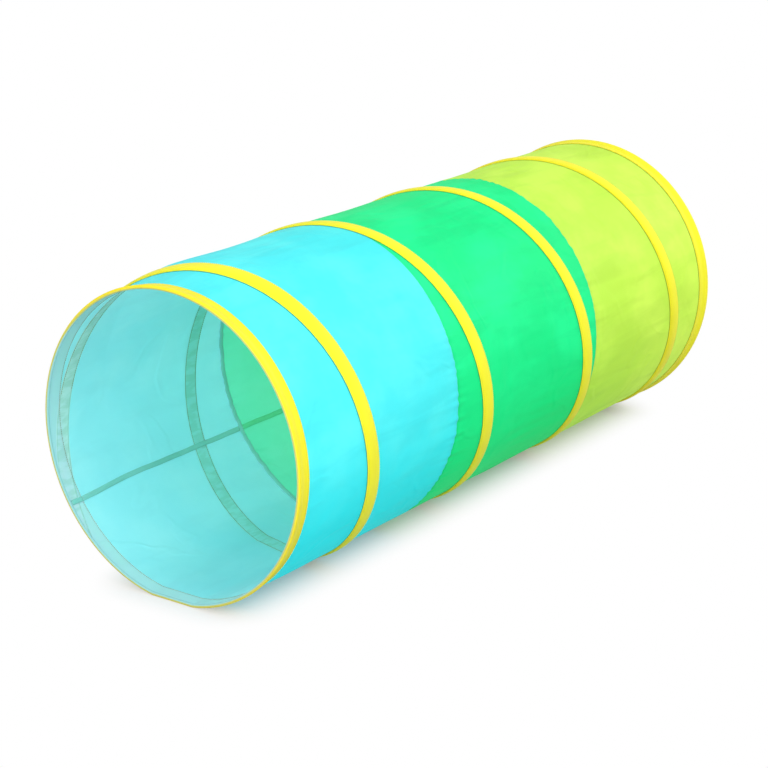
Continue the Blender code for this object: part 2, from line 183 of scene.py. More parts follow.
def between_tapes(angle, along):
    """Share of the way from one tape to the next, and the free length of cloth between them."""
    turn = np.floor((along - coil_along(angle)) / COIL_PITCH)
    before = coil_along(angle) + turn * COIL_PITCH + HALF_ALONG
    after = np.minimum(before + COIL_PITCH - 2 * HALF_ALONG, TUNNEL_LENGTH - TAPE_WIDTH)
    before = np.maximum(before, TAPE_WIDTH)
    span = np.maximum(after - before, TAPE_WIDTH)
    return np.clip((along - before) / span, 0, 1), span


def cloth_radius(angle, along):
    """The cloth's outer radius.

    It is level under the tapes and draws in a little between them, by a sine squared. On the underside
    it hangs, until it meets the floor. Near a join it puckers in short waves that die out from the seam,
    and slack waves of a few centimetres run over the rest.
    """
    share, span = between_tapes(angle, along)
    free = np.sin(math.pi * share) ** 2 * np.minimum(span / (COIL_PITCH - 2 * HALF_ALONG), 1) ** 2
    under = np.clip(-np.cos(angle), 0, 1) ** 8
    soft = SHARP + FLOOR_FLAT_DEPTH * 0.85 * free
    level = round_radius(CLOTH_OUTER, angle, along, soft)
    loose = np.minimum(free * 3, 1)
    slack = SLACK * waves(angle, along, 5, (4, 26), (0.16, 0.9), 16)
    slack = slack + FINE_SLACK * waves(angle, along, 9, (28, 70), (0.10, 0.5), 14)
    pucker = np.zeros(np.broadcast(angle, along).shape)
    for seed, join in ((21, FIRST_JOIN), (22, SECOND_JOIN)):
        from_join = along - leaning(join, angle)
        near = np.exp(-np.abs(from_join) / PUCKER_REACH)
        pucker = pucker + near * PUCKER * waves(angle, along * 0, seed, (50, 130), (1, 2), 14)
        pucker = pucker - JOIN_DIP * np.exp(-((from_join / JOIN_DIP_REACH) ** 2))
    radius = level - SAG * free * (1 - under) + HANG * under * free
    radius = radius + loose * (slack + pucker) * (1 - under)
    floor = axis_height(along) / np.maximum(-np.cos(angle), math.cos(math.pi / 4))
    return softer_least(radius, floor, soft)


def mesh_object(name, points, corners, sizes, uv, materials, faces_of=None):
    """A smooth object from its points, the point numbers of all face corners, and the corners of each face."""
    mesh = bpy.data.meshes.new(name)
    mesh.vertices.add(len(points))
    mesh.vertices.foreach_set("co", np.asarray(points, np.float32).ravel())
    mesh.loops.add(len(corners))
    mesh.loops.foreach_set("vertex_index", np.asarray(corners, np.int32))
    mesh.polygons.add(len(sizes))
    starts = np.concatenate([[0], np.cumsum(sizes)[:-1]])
    mesh.polygons.foreach_set("loop_start", starts.astype(np.int32))
    if faces_of is not None:
        mesh.polygons.foreach_set("material_index", np.asarray(faces_of, np.int32))
    mesh.polygons.foreach_set("use_smooth", np.ones(len(sizes), bool))
    layer = mesh.uv_layers.new(name="flat")
    layer.data.foreach_set("uv", np.asarray(uv, np.float32).ravel())
    for material in materials:
        mesh.materials.append(material)
    mesh.update(calc_edges=True)
    mesh.validate()
    thing = bpy.data.objects.new(name, mesh)
    bpy.context.scene.collection.objects.link(thing)
    return thing


def carried(name, points, uv, ring, materials, section_material=None):
    """A closed section carried along a path: points[step, spot], with uv one longer where it closes.

    Steps run clockwise and the section runs backwards along the tunnel on its outside, so that faces
    point outwards. It closes on itself if ring is set, and is capped otherwise.
    """
    count, size = points.shape[:2]
    number = np.arange(count * size).reshape(count, size)
    grid = np.concatenate([number, number[:, :1]], axis=1)
    if ring:
        grid = np.concatenate([grid, grid[:1]], axis=0)
    here, right = (slice(None, -1), slice(None, -1)), (slice(1, None), slice(None, -1))
    both, back = (slice(1, None), slice(1, None)), (slice(None, -1), slice(1, None))
    quads = np.stack([grid[spot] for spot in (here, right, both, back)], axis=-1).reshape(-1, 4)
    quad_uv = np.stack([uv[spot] for spot in (here, right, both, back)], axis=-2).reshape(-1, 2)
    corners, sizes, faces_uv = [quads.ravel()], [np.full(len(quads), 4)], [quad_uv]
    steps = len(grid) - 1
    faces_of = np.tile(np.zeros(size) if section_material is None else section_material, steps)
    if not ring:
        corners += [number[0], number[-1][::-1]]
        sizes.append(np.array([size, size]))
        faces_uv += [uv[0, :-1], uv[-1, :-1][::-1]]
        faces_of = np.concatenate([faces_of, [0, 0]])
    return mesh_object(
        name,
        points.reshape(-1, 3),
        np.concatenate(corners),
        np.concatenate(sizes),
        np.concatenate(faces_uv),
        materials,
        faces_of,
    )


def cloth_panel(name, start, end, outside, inside, count=ROWS):
    """A length of cloth tube: the outer wall's rows from start to end, and the inner wall's back again."""
    rows = np.concatenate([
        np.linspace(start, end, count),
        [start + 0.0002, end - 0.0002, FULL_WIDTH_FROM],
        *(
            join + side * np.linspace(0.0015, PUCKER_REACH, 9)
            for join in (FIRST_JOIN, SECOND_JOIN)
            for side in (-1, 1)
        ),
    ])
    rows = np.unique(np.round(rows[(rows >= start) & (rows <= end)], 5))
    angle = SEAM_ANGLE + np.linspace(0, 2 * math.pi, COLUMNS + 1)[:, None]
    along = leaning(rows[None], angle)
    along = np.concatenate([along, along[:, ::-1], along[:, :1]], axis=1)
    outer = cloth_radius(angle[:-1], along[:-1, : len(rows)])
    radius = np.concatenate([outer, (outer - CLOTH_WALL)[:, ::-1]], axis=1)
    points = place(angle[:-1], radius, along[:-1, :-1])
    uv = np.stack(np.broadcast_arrays(angle / (2 * math.pi), along), axis=-1)
    which = np.repeat((0, 1), len(rows))
    return carried(name, points, uv, True, (outside, inside), which)


def tape_lift(share):
    """How high the top of the coil's tape is above the cloth, at a share of its half width from -1 to 1."""
    dome = (1 - np.abs(share) ** 2.6) ** 0.75
    return LYING - CLOTH_OUTER + (ARCH_TOP - LYING) * dome


def coil_tape(name, material):
    """The tape over the coil: a low dome carried along the helix, cut where the hoops' tapes begin."""
    share = np.sin(np.linspace(-math.pi / 2, math.pi / 2, 15))
    lift = tape_lift(share)
    low = np.maximum(lift - TAPE_WALL, CLEARANCE)
    across = np.concatenate([share, share[::-1] * 0.985]) * TAPE_WIDTH / 2
    height = np.concatenate([lift, low[::-1]])
    margin = TAPE_WIDTH + TAPE_GAP
    first = coil_angle(margin - HALF_ALONG + 0.0004)
    last = coil_angle(TUNNEL_LENGTH - margin + HALF_ALONG - 0.0004)
    angle = np.linspace(first, last, 1400)[:, None]
    ripple = TAPE_RIPPLE * waves(angle, across[None] * 0, 31, (50, 130), (1, 2), 8)
    along = coil_along(angle) + across[None] / LEAN + ripple
    along = np.clip(along, margin, TUNNEL_LENGTH - margin)
    points = place(angle, round_radius(CLOTH_OUTER + height[None], angle, along), along)
    run = (angle - first) * HOOP_RADIUS / LEAN
    width = np.concatenate([across, across[:1]])
    uv = np.stack(np.broadcast_arrays(run, width[None]), axis=-1)
    return carried(name, points, uv, False, (material,))


def flange_rise(angle, there, over, mirrored):
    """How far a hoop's tape lifts over the coil's wire, which comes in under it, and in its own ripple.

    It is given the angle, the distance behind the mouth and the radius that the tape has there unlifted.
    """
    from_wire = np.full(np.broadcast(angle, there).shape, TUNNEL_LENGTH)
    for turns in range(-2, 6):
        wire = coil_along(angle + turns * 2 * math.pi)
        inside = (wire > 0) & (wire < TUNNEL_LENGTH)
        from_wire = np.minimum(from_wire, np.where(inside, np.abs(there - wire), TUNNEL_LENGTH))
    from_end = TUNNEL_LENGTH - there if mirrored else there
    ridge = np.exp(-((from_wire / RIDGE_WIDTH) ** 2)) * np.clip((from_end - 0.004) / 0.004, 0, 1)
    need = np.clip(WIRE_LINE + WIRE_DIAMETER / 2 + TAPE_WALL + CLEARANCE - over, 0, 1)
    ripple = np.abs(HOOP_TAPE_RIPPLE * waves(angle, there * 0, 41 + mirrored, (40, 130), (1, 2), 9))
    return ridge * need + ripple * np.clip((from_end - 0.006) / 0.006, 0, 1)


def hoop_tape(name, mirrored, material):
    """The folded tape of a hoop, whose section runs over the flange, the round nose and the lip inside.

    The flange lies on the cloth and lifts in a ridge where the coil's wire comes in under it. The inner
    skin is the outer one moved square to itself by the tape's thickness.
    """
    nose = (HOOP_RADIUS - (CLOTH_OUTER - CLOTH_WALL - CLEARANCE - TAPE_WALL)) / 2
    way = np.linspace(1, 0, 16)[:-1]
    fall = 0.5 + 0.5 * np.cos(math.pi * np.clip(way * 1.7, 0, 1))
    turn = np.linspace(0, math.pi, 17)
    along = [
        [TAPE_WIDTH],
        nose + way * (TAPE_WIDTH - 0.0002 - nose),
        nose - nose * np.sin(turn),
        [LIP_WIDTH + 0.0002],
    ]
    radius = [
        [LYING - 0.0003],
        LYING + (HOOP_RADIUS - LYING) * fall,
        HOOP_RADIUS - nose + nose * np.cos(turn),
        [HOOP_RADIUS - 2 * nose],
    ]
    along, radius = np.concatenate(along), np.concatenate(radius)
    flat = np.concatenate([[0], np.cumsum(np.hypot(np.diff(along), np.diff(radius)))]) - TAPE_WIDTH / 2
    step_along, step_radius = np.gradient(along), np.gradient(radius)
    length = np.hypot(step_along, step_radius)
    skin_along = along - TAPE_WALL * step_radius / length
    skin_radius = radius + TAPE_WALL * step_along / length
    sides = [(along, skin_along), (radius, skin_radius), (radius, radius), (flat, flat)]
    along, radius, over, width = (np.concatenate([outer[::-1], skin]) for outer, skin in sides)
    if mirrored:
        along, radius, over, width = along[::-1], radius[::-1], over[::-1], width[::-1]
    angle = np.linspace(0, 2 * math.pi, COLUMNS + 1)[:, None]
    there = (TUNNEL_LENGTH - along if mirrored else along)[None]
    outside = over > LYING - 0.001
    lifted = radius + np.where(outside, flange_rise(angle[:-1], there, over, mirrored), 0)
    points = place(angle[:-1], round_radius(lifted, angle[:-1], there), there)
    uv = np.stack(np.broadcast_arrays(angle * HOOP_RADIUS, np.append(width, width[0])[None]), axis=-1)
    return carried(name, points, uv, True, (material,))


def wire_tube(name, first, last, material):
    """The coil's wire: a round section carried along its helix, and beside each hoop's wire at its ends."""
    side = np.linspace(0, 2 * math.pi, 9)[:-1]
    angle = np.linspace(first, last, int((last - first) * 35))[:, None]
    along = np.clip(coil_along(angle), COIL_LANE, TUNNEL_LENGTH - COIL_LANE)
    along = along + WIRE_DIAMETER / 2 * np.sin(side) / LEAN
    radius = round_radius(WIRE_LINE, angle, along) + WIRE_DIAMETER / 2 * np.cos(side)
    points = place(angle, radius, along)
    closed = np.append(side, 2 * math.pi)
    uv = np.stack(np.broadcast_arrays(angle * HOOP_RADIUS, closed[None] * WIRE_DIAMETER / 2), axis=-1)
    return carried(name, points, uv, False, (material,))


# The section of a seam's turned edges: halves of its width across, and metres in from the cloth
EDGE_ACROSS = np.array([-1, -0.86, 0, 0.86, 1, 1, 0.86, 0, -0.86, -1])
EDGE_DEEP = CLEARANCE + np.array([0.25, 0, 0, 0, 0.25, 0.9, 1.2, 1.25, 1.2, 0.9]) * 0.001


def join_ring(name, join, material):
    """The two turned edges inside a join: a thin band with rounded rims that waves a little."""
    angle = np.linspace(0, 2 * math.pi, 361)[:, None]
    across = EDGE_ACROSS * SEAM_WIDTH / 2
    wave = JOIN_WAVE * waves(angle[:-1], across[None] * 0, 51 + int(join > 0.5), (20, 70), (1, 2), 9)
    along = leaning(join + across[None], angle[:-1]) + wave
    radius = cloth_radius(angle[:-1], along) - CLOTH_WALL - EDGE_DEEP[None]
    points = place(angle[:-1], radius, along)
    width = np.append(across, across[0])
    uv = np.stack(np.broadcast_arrays(angle * HOOP_RADIUS, width[None]), axis=-1)
    return carried(name, points, uv, True, (material,))


def side_strip(name, start, end, material, count=130):
    """The turned edges of a panel's lengthwise seam: a thin band that runs back along the tunnel."""
    along = np.linspace(start, end, count)[:, None]
    across = -EDGE_ACROSS * SEAM_WIDTH / 2 / HOOP_RADIUS
    wave = SIDE_WAVE * np.sin(along * 71) * np.sin(along * 23 + 1)
    angle = SEAM_ANGLE + across[None] + wave
    there = leaning(along, angle)
    radius = cloth_radius(angle, there) - CLOTH_WALL - EDGE_DEEP[None]
    points = place(angle, radius, there)
    width = np.append(across, across[0]) * HOOP_RADIUS
    uv = np.stack(np.broadcast_arrays(along, width[None]), axis=-1)
    return carried(name, points, uv, False, (material,))


def stitches(name, centres, ways, ups, material):
    """Rows of stitches: each a thread's short arc that rises from the cloth and goes back into it.

    A stitch is five rings of five points whose middle line is a half sine along its way.
    """
    share = np.linspace(0, 1, 5)
    lift = STITCH_FOOT + STITCH_RISE * np.sin(math.pi * share)
    thick = THREAD_RADIUS * np.array([0.6, 1, 1, 1, 0.6])
    side = np.linspace(0, 2 * math.pi, 6)[:-1]
    crosses = np.cross(ways, ups)
    middle = centres[:, None] + ways[:, None] * ((share - 0.5) * STITCH_LENGTH)[None, :, None]
    middle = middle + ups[:, None] * lift[None, :, None]
    rim = crosses[:, None] * np.cos(side)[None, :, None] + ups[:, None] * np.sin(side)[None, :, None]
    points = middle[:, :, None] + rim[:, None] * thick[None, :, None, None]
    number = np.arange(len(centres) * 25).reshape(-1, 5, 5)
    wrapped = np.concatenate([number, number[:, :, :1]], axis=2)
    quads = np.stack(
        [wrapped[:, :-1, :-1], wrapped[:, :-1, 1:], wrapped[:, 1:, 1:], wrapped[:, 1:, :-1]], axis=-1
    ).reshape(-1, 4)
    caps = np.concatenate([number[:, 0][:, ::-1], number[:, -1]])
    corners = np.concatenate([quads.ravel(), caps.ravel()])
    sizes = np.concatenate([np.full(len(quads), 4), np.full(len(caps), 5)])
    flat = points.reshape(-1, 3)
    return mesh_object(name, flat, corners, sizes, np.zeros((len(corners), 2)), (material,))


def row_of(angle, radius, along, inwards=False):
    """Where a row's stitches sit: middle, way along the row, and the way up from the cloth."""
    points = place(angle, radius, along)
    ways = np.gradient(points, axis=0)
    ways = ways / np.linalg.norm(ways, axis=1, keepdims=True)
    outwards = place(angle, radius + 0.001, along) - points
    outwards = outwards / np.linalg.norm(outwards, axis=1, keepdims=True)
    ups = -outwards if inwards else outwards
    return points, ways, ups


def joined_rows(rows):
    """Several rows of stitches as one."""
    return [np.concatenate(parts) for parts in zip(*rows)]


# ---------------------------------------------------------------- finishes

WEAVE_STEP, TAPE_WEAVE_STEP = 0.0005, 0.0008
WEAVE_DEPTH, TAPE_WEAVE_DEPTH = 0.00004, 0.00008


def linear(red, green, blue):
    """A screen colour from 0 to 255 as the light that a shader takes."""
    shares = np.array((red, green, blue)) / 255
    light = np.where(shares <= 0.04045, shares / 12.92, ((shares + 0.055) / 1.055) ** 2.4)
    return tuple(float(c) for c in light)


def add(tree, kind, inputs=None, **settings):
    """A node with its settings, whose inputs are given by name or number as values or other sockets."""
    node = tree.nodes.new(kind)
    for key, value in settings.items():
        setattr(node, key, value)
    for key, value in (inputs or {}).items():
        if isinstance(value, bpy.types.NodeSocket):
            tree.links.new(value, node.inputs[key])
        else:
            node.inputs[key].default_value = value
    return node


def maths(tree, operation, *values):
    """The result of a sum on values or sockets."""
    return add(tree, "ShaderNodeMath", dict(enumerate(values)), operation=operation).outputs[0]


def blended(tree, share, first, second):
    """A colour between two others."""
    node = add(tree, "ShaderNodeMix", data_type="RGBA")
    for key, value in (("Factor", share), ("A", first), ("B", second)):
        socket = next(s for s in node.inputs if s.name == key and s.enabled)
        if isinstance(value, bpy.types.NodeSocket):
            tree.links.new(value, socket)
        elif key == "Factor":
            socket.default_value = value
        else:
            socket.default_value = (*value[:3], 1)
    return next(s for s in node.outputs if s.enabled)


def split(tree, vector):
    """A vector's three parts."""
    return add(tree, "ShaderNodeSeparateXYZ", {0: vector}).outputs


def spread(tree, value, low, high, to_low=0.0, to_high=1.0):
    """A value taken smoothly from one range to another."""
    inputs = {0: value, 1: low, 2: high, 3: to_low, 4: to_high}
    return add(tree, "ShaderNodeMapRange", inputs, interpolation_type="SMOOTHSTEP").outputs[0]


def group(name, inputs, outputs):
    """An empty node group with its sockets, and its two end nodes."""
    tree = bpy.data.node_groups.new(name, "ShaderNodeTree")
    kinds = {"value": "NodeSocketFloat", "vector": "NodeSocketVector"}
    for label, kind, start in inputs:
        socket = tree.interface.new_socket(label, in_out="INPUT", socket_type=kinds[kind])
        if start is not None:
            socket.default_value = start
    for label, kind in outputs:
        tree.interface.new_socket(label, in_out="OUTPUT", socket_type=kinds[kind])
    return tree, tree.nodes.new("NodeGroupInput").outputs, tree.nodes.new("NodeGroupOutput")


def use(tree, shared, **inputs):
    """The outputs of a shared node group, put into a material with its inputs given by name."""
    node = tree.nodes.new("ShaderNodeGroup")
    node.node_tree = shared
    for key, value in inputs.items():
        socket = node.inputs[key.replace("_", " ")]
        if isinstance(value, bpy.types.NodeSocket):
            tree.links.new(value, socket)
        else:
            socket.default_value = value
    return node.outputs


def cloth_map_group():
    """From a panel's UV, turns round and metres back: the place on the flat cut, and how far off the tape."""
    outputs = [("Flat", "vector"), ("Off Tape", "value")]
    tree, given, out = group("cloth map", [("UV", "vector", None)], outputs)
    parts = split(tree, given["UV"])
    across = maths(tree, "MULTIPLY", parts[0], 2 * math.pi * HOOP_RADIUS)
    flat = add(tree, "ShaderNodeCombineXYZ", {0: across, 1: parts[1]}).outputs[0]
    askew = maths(tree, "SINE", maths(tree, "MULTIPLY", parts[0], 2 * math.pi))
    level = maths(tree, "MULTIPLY_ADD", askew, ASKEW, maths(tree, "SUBTRACT", parts[1], COIL_FIRST_PASS))
    turn = maths(tree, "DIVIDE", level, COIL_PITCH)
    off = maths(tree, "WRAP", maths(tree, "SUBTRACT", turn, parts[0]), 0.5, -0.5)
    tree.links.new(flat, out.inputs[0])
    tree.links.new(maths(tree, "MULTIPLY", off, COIL_PITCH), out.inputs[1])
    return tree


def weave_group():
    """Plain weave: two crossed rows of threads that go over and under each other, from two sines."""
    inputs = [("Flat", "vector", None), ("Thread Step", "value", WEAVE_STEP)]
    tree, given, out = group("plain weave", inputs, [("Height", "value"), ("Tone", "value")])
    parts = split(tree, given["Flat"])
    turns = maths(tree, "DIVIDE", math.pi, given["Thread Step"])
    first = maths(tree, "SINE", maths(tree, "MULTIPLY", parts[0], turns))
    second = maths(tree, "SINE", maths(tree, "MULTIPLY", parts[1], turns))
    over = maths(tree, "MULTIPLY", first, second)
    height = maths(tree, "MULTIPLY_ADD", over, 0.5, 0.5)
    stretched = add(
        tree, "ShaderNodeVectorMath", {0: given["Flat"], 1: (900.0, 60.0, 1.0)}, operation="MULTIPLY"
    ).outputs[0]
    slub = add(tree, "ShaderNodeTexNoise", {"Vector": stretched, "Scale": 1.0, "Detail": 2.0}).outputs[0]
    tree.links.new(height, out.inputs[0])
    tree.links.new(slub, out.inputs[1])
    return tree


def crease_group():
    """Soft creases: ridges where a warped noise crosses its middle, and a broad unevenness."""
    inputs = [("Vector", "vector", None), ("Scale", "value", 8.0), ("Seed", "value", 0.0)]
    tree, given, out = group("soft creases", inputs, [("Height", "value"), ("Mottle", "value")])
    spot = {"Vector": given["Vector"], "W": given["Seed"]}
    warped = {**spot, "Scale": given["Scale"], "Detail": 2.0, "Distortion": 0.8}
    noise = add(tree, "ShaderNodeTexNoise", warped, noise_dimensions="4D").outputs[0]
    away = maths(tree, "ABSOLUTE", maths(tree, "SUBTRACT", noise, 0.5))
    ridge = spread(tree, away, 0.0, 0.05, 1.0, 0.0)
    wide = {**spot, "Scale": 9.0, "Detail": 4.0, "Roughness": 0.55}
    broad = add(tree, "ShaderNodeTexNoise", wide, noise_dimensions="4D").outputs[0]
    tree.links.new(ridge, out.inputs[0])
    tree.links.new(broad, out.inputs[1])
    return tree


CLOTH_MAP, WEAVE, CREASE = cloth_map_group(), weave_group(), crease_group()
# Painted shade: the band tone stands in for the light that a tape holds back from the cloth; near the mouth the
# band is painted paler, as painted light.
TAPE_SHADE_BAND_TONE = linear(200, 238, 228)  # the inner wall's tone where a tape lies on the cloth outside
MOUTH_LIT_BAND_TONE = linear(222, 252, 255)  # and the tone of that band near the mouth
# Painted shade: the olive of a hoop's tape where it turns in over the lip, before its hem's tone.
LIP_SHADE_OLIVE = linear(206, 208, 118)  # a hoop's tape where it meets its hem's tone

# Where a tape's tones change, in metres from its middle line
TINGED_EDGE = (0.0118, 0.0132)
# The golden and olive spans are painted shade on a hoop's rolled nose and lip.
NOSE_SHADE_SPAN, LIP_SHADE_SPAN, FOLD_HEM = (0.0098, 0.0118), (0.0132, 0.0148), (0.0160, 0.0172)


def new_material(name):
    """An empty material, its node tree and the coordinates that its nodes start from."""
    material = bpy.data.materials.new(name)
    material.use_nodes = True
    tree = material.node_tree
    tree.nodes.clear()
    return material, tree, add(tree, "ShaderNodeTexCoord").outputs


def principled(tree, colour, roughness, **more):
    """A surface's main shader, whose further inputs are given by name."""
    inputs = {key.replace("_", " "): value for key, value in more.items()}
    inputs.update({"Base Color": colour, "Roughness": roughness})
    return add(tree, "ShaderNodeBsdfPrincipled", inputs).outputs[0]


def bumped(tree, height, strength, distance=1.0):
    """A normal from a height in metres."""
    inputs = {"Height": height, "Strength": strength, "Distance": distance}
    return add(tree, "ShaderNodeBump", inputs).outputs[0]


def mixed(tree, share, first, second):
    """A shader between two others."""
    return add(tree, "ShaderNodeMixShader", {0: share, 1: first, 2: second}).outputs[0]


def drawn_noise(tree, vector, turn, scale, **more):
    """Noise on the flat cut, turned and drawn out along it."""
    placed = {"Vector": vector, "Rotation": (0, 0, turn), "Scale": scale}
    placed = add(tree, "ShaderNodeMapping", placed).outputs[0]
    return add(tree, "ShaderNodeTexNoise", {"Vector": placed, "Scale": 1.0, **more}).outputs[0]


def cloth_finish(name, seed, tone, shade, line, hem_tone, underside_shade_tone):
    """Thin woven nylon: its colour, painted shadows beside the tapes, weave, creases and light through it.

    The inner wall is given its hem's tone, for the strip along a hoop, and the outer wall none. Streaks are
    drawn darker along their wrinkles, as painted shade. Inside, the band where a tape lies outside takes a
    painted shade tone, paler near the mouth as painted light, and painted shade in its folds. A painted shade
    for low down, if given, takes over by degrees towards the underside.
    """
    inside = hem_tone is not None
    material, tree, coordinates = new_material(name)
    where = use(tree, CLOTH_MAP, UV=coordinates["UV"])
    weave = use(tree, WEAVE, Flat=where["Flat"], Thread_Step=WEAVE_STEP)
    crease = use(tree, CREASE, Vector=coordinates["Object"], Scale=7.0, Seed=seed)
    back = split(tree, where["Flat"])[1]
    mottle = spread(tree, crease["Mottle"], 0.38, 0.66)
    colour = blended(tree, mottle, shade, tone)
    slub = spread(tree, weave["Tone"], 0.3, 0.7, 0.0, 0.10)
    colour = blended(tree, slub, colour, shade)
    # Drawn-out wrinkles: a real bump from the streak noise, and painted shade that darkens the colour along
    # them.
    streak = drawn_noise(tree, where["Flat"], 0.35, (24.0, 4.5, 1.0), Detail=4.0, Distortion=0.6)
    wrinkle_shade_tone = tuple(0.86 * c for c in shade)
    wrinkle_shade = spread(tree, streak, 0.46, 0.70, 0.0, 0.20 if inside else 0.45)
    colour = blended(tree, wrinkle_shade, colour, wrinkle_shade_tone)
    # Painted shade: the outside takes a deeper tone by degrees towards the underside, where less light falls.
    if underside_shade_tone:
        up = split(tree, coordinates["Object"])[2]
        colour = blended(tree, spread(tree, up, 0.06, 0.30, 0.85, 0.0), colour, underside_shade_tone)
    edge = maths(tree, "ABSOLUTE", where["Off Tape"])
    rear_tape = TUNNEL_LENGTH - TAPE_WIDTH
    if inside:
        first = spread(tree, back, TAPE_WIDTH - 0.0006, TAPE_WIDTH + 0.0006, 1.0, 0.0)
        last = spread(tree, back, rear_tape - 0.0006, rear_tape + 0.0006)
        hem = maths(tree, "MAXIMUM", first, last)
        # Painted shade along the band behind each tape.
        under = spread(tree, edge, HALF_ALONG - 0.0004, HALF_ALONG + 0.0008, 1.0, 0.0)
        colour = blended(tree, maths(tree, "MULTIPLY", under, 0.22), colour, TAPE_SHADE_BAND_TONE)
        # Painted light: the band is paler near the mouth, where light comes in.
        mouth_light = maths(tree, "MULTIPLY", under, spread(tree, back, 0.05, 0.16, 0.8, 0.0))
        colour = blended(tree, mouth_light, colour, MOUTH_LIT_BAND_TONE)
        colour = blended(tree, maths(tree, "MULTIPLY", hem, 0.75), colour, hem_tone)
        from_row = maths(tree, "ABSOLUTE", maths(tree, "SUBTRACT", edge, HALF_ALONG - ROW_INSET))
        dark = spread(tree, from_row, 0.0002, 0.0012, 0.35, 0.0)
    else:
        # Painted shadow: a dark line along the mouth-side edge of the coil's tape and in front of the rear
        # hoop's tape.
        beside = maths(tree, "ABSOLUTE", maths(tree, "ADD", where["Off Tape"], HALF_ALONG + 0.0004))
        last = maths(tree, "ABSOLUTE", maths(tree, "SUBTRACT", back, rear_tape - 0.0004))
        dark = spread(tree, maths(tree, "MINIMUM", beside, last), 0.0004, 0.0014, 0.8, 0.0)
    colour = blended(tree, dark, colour, line)
    near = spread(tree, edge, HALF_ALONG * 0.9, HALF_ALONG * (1.0 if inside else 2.6), 1.0, 0.0)
    crumple = drawn_noise(tree, where["Flat"], 0.7, (90.0, 30.0, 1.0), Detail=3.0)
    crumpled = maths(tree, "MULTIPLY", maths(tree, "MULTIPLY", near, crumple), 0.0012 if inside else 0.0006)
    # Painted shade in the folds of the crumpled cloth beside a tape, inside only.
    if inside:
        folds = maths(tree, "MULTIPLY", near, spread(tree, crumple, 0.40, 0.60, 0.28, 0.0))
        colour = blended(tree, folds, colour, line)
    height = maths(tree, "MULTIPLY_ADD", weave["Height"], WEAVE_DEPTH, crumpled)
    height = maths(tree, "MULTIPLY_ADD", crease["Height"], 0.0007, height)
    height = maths(tree, "MULTIPLY_ADD", streak, 0.0009, height)
    bump = bumped(tree, height, 0.7)
    gloss = {"Specular_IOR_Level": 0.4 if inside else 0.06}
    sheen = {"Sheen_Weight": 0.2 if inside else 0.0, "Sheen_Roughness": 0.4}
    skin = principled(tree, colour, 0.52, Normal=bump, **gloss, **sheen)
    glow = add(tree, "ShaderNodeBsdfTranslucent", {"Color": colour, "Normal": bump}).outputs[0]
    wall = mixed(tree, 0.22 if inside else 0.30, skin, glow)
    clear = add(tree, "ShaderNodeBsdfTransparent").outputs[0]
    behind = add(tree, "ShaderNodeNewGeometry").outputs["Backfacing"]
    add(tree, "ShaderNodeOutputMaterial", {"Surface": mixed(tree, behind, wall, clear)})
    return material


def seam_finish(name, tone, shade):
    """The turned edges of a seam: plies of the cloth, creased by the sewing, that let little light by."""
    material, tree, coordinates = new_material(name)
    crease = use(tree, CREASE, Vector=coordinates["Object"], Scale=45.0, Seed=8.0)
    weave = use(tree, WEAVE, Flat=coordinates["UV"], Thread_Step=WEAVE_STEP)
    colour = blended(tree, spread(tree, crease["Mottle"], 0.35, 0.7), shade, tone)
    woven = maths(tree, "MULTIPLY", weave["Height"], WEAVE_DEPTH)
    bump = bumped(tree, maths(tree, "MULTIPLY_ADD", crease["Height"], 0.0003, woven), 0.7)
    skin = principled(tree, colour, 0.6, Sheen_Weight=0.2, Normal=bump)
    glow = add(tree, "ShaderNodeBsdfTranslucent", {"Color": colour}).outputs[0]
    add(tree, "ShaderNodeOutputMaterial", {"Surface": mixed(tree, 0.08, skin, glow)})
    return material


def tape_finish(name, tone, shade, edge_tone, hem=None):
    """Woven binding tape: ribs across it, a warmer tinge at its edges and faint unevenness.

    A hoop's tape is painted golden where it rolls over the wire, as painted shade on the nose, and olive where
    it turns in, as painted shade on the lip; past the fold the cloth's hem shows. At the upper left the tape
    reaches a little further round. Its UV is metres along and across.
    """
    material, tree, coordinates = new_material(name)
    crease = use(tree, CREASE, Vector=coordinates["Object"], Scale=20.0, Seed=3.0)
    weave = use(tree, WEAVE, Flat=coordinates["UV"], Thread_Step=TAPE_WEAVE_STEP)
    colour = blended(tree, spread(tree, crease["Mottle"], 0.35, 0.7), shade, tone)
    colour = blended(tree, spread(tree, weave["Tone"], 0.3, 0.7, 0.0, 0.2), colour, edge_tone)
    parts = split(tree, coordinates["UV"])
    off = maths(tree, "ABSOLUTE", parts[1])
    colour = blended(tree, spread(tree, off, *TINGED_EDGE, 0.0, 0.3), colour, edge_tone)
    if hem:
        around = maths(tree, "COSINE", maths(tree, "MULTIPLY_ADD", parts[0], 1 / HOOP_RADIUS, 0.30))
        over = maths(tree, "SUBTRACT", parts[1], spread(tree, around, 0.72, 0.95, 0.0, 0.0020))
        # Painted shade: golden over the rolled nose and olive at the lip.
        colour = blended(tree, spread(tree, over, *NOSE_SHADE_SPAN, 0.0, 0.8), colour, edge_tone)
        colour = blended(tree, spread(tree, over, *LIP_SHADE_SPAN, 0.0, 0.8), colour, LIP_SHADE_OLIVE)
        colour = blended(tree, spread(tree, over, *FOLD_HEM), colour, hem)
    bump = bumped(tree, maths(tree, "MULTIPLY", weave["Height"], TAPE_WEAVE_DEPTH), 0.6)
    skin = principled(tree, colour, 0.7, Specular_IOR_Level=0.25, Sheen_Weight=0.1, Normal=bump)
    glow = add(tree, "ShaderNodeBsdfTranslucent", {"Color": colour}).outputs[0]
    add(tree, "ShaderNodeOutputMaterial", {"Surface": mixed(tree, 0.20, skin, glow)})
    return material


